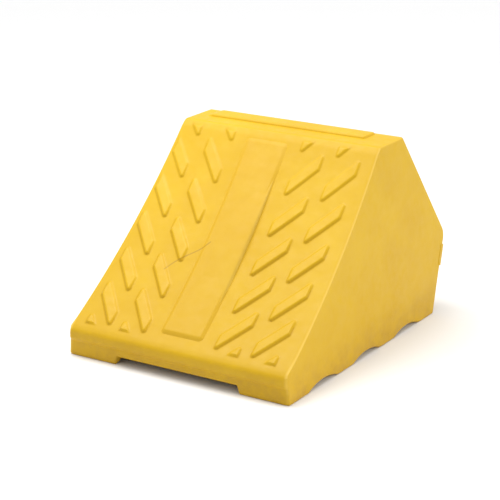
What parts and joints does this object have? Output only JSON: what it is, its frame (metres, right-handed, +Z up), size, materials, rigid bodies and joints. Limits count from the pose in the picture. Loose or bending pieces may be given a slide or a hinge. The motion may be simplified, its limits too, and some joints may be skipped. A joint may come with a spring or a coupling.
{
  "type": "wheel chock",
  "caption": "Wedge-shaped moulded wheel chock with a hollowed lugged tread, a plain centre strip, a flat top ledge and a ribbed open underside.",
  "frame": {"origin": "middle of the footprint of the bounding box, on the ground", "axes": "+X across the width, +Y from the toe that meets the tyre to the heel, +Z up"},
  "size_m": [0.304, 0.3957, 0.2455],
  "materials": {
    "shell_moulding": "yellow moulded polyurethane, satin with a fine moulded grain",
    "strip_moulding": "yellow moulded polyurethane, smooth and a little duller than the shell",
    "grip_moulding": "yellow moulded polyurethane, satin",
    "rib_moulding": "yellow moulded polyurethane, unpolished"
  },
  "bodies": {
    "root": {"shell": "shell_moulding", "centre_strip": "strip_moulding", "top_bar": "grip_moulding", "back_strip": "grip_moulding", "rib_left": "rib_moulding", "rib_centre": "rib_moulding", "rib_right": "rib_moulding", "rib_front": "rib_moulding", "rib_middle": "rib_moulding", "rib_rear": "rib_moulding"}
  },
  "joints": []
}
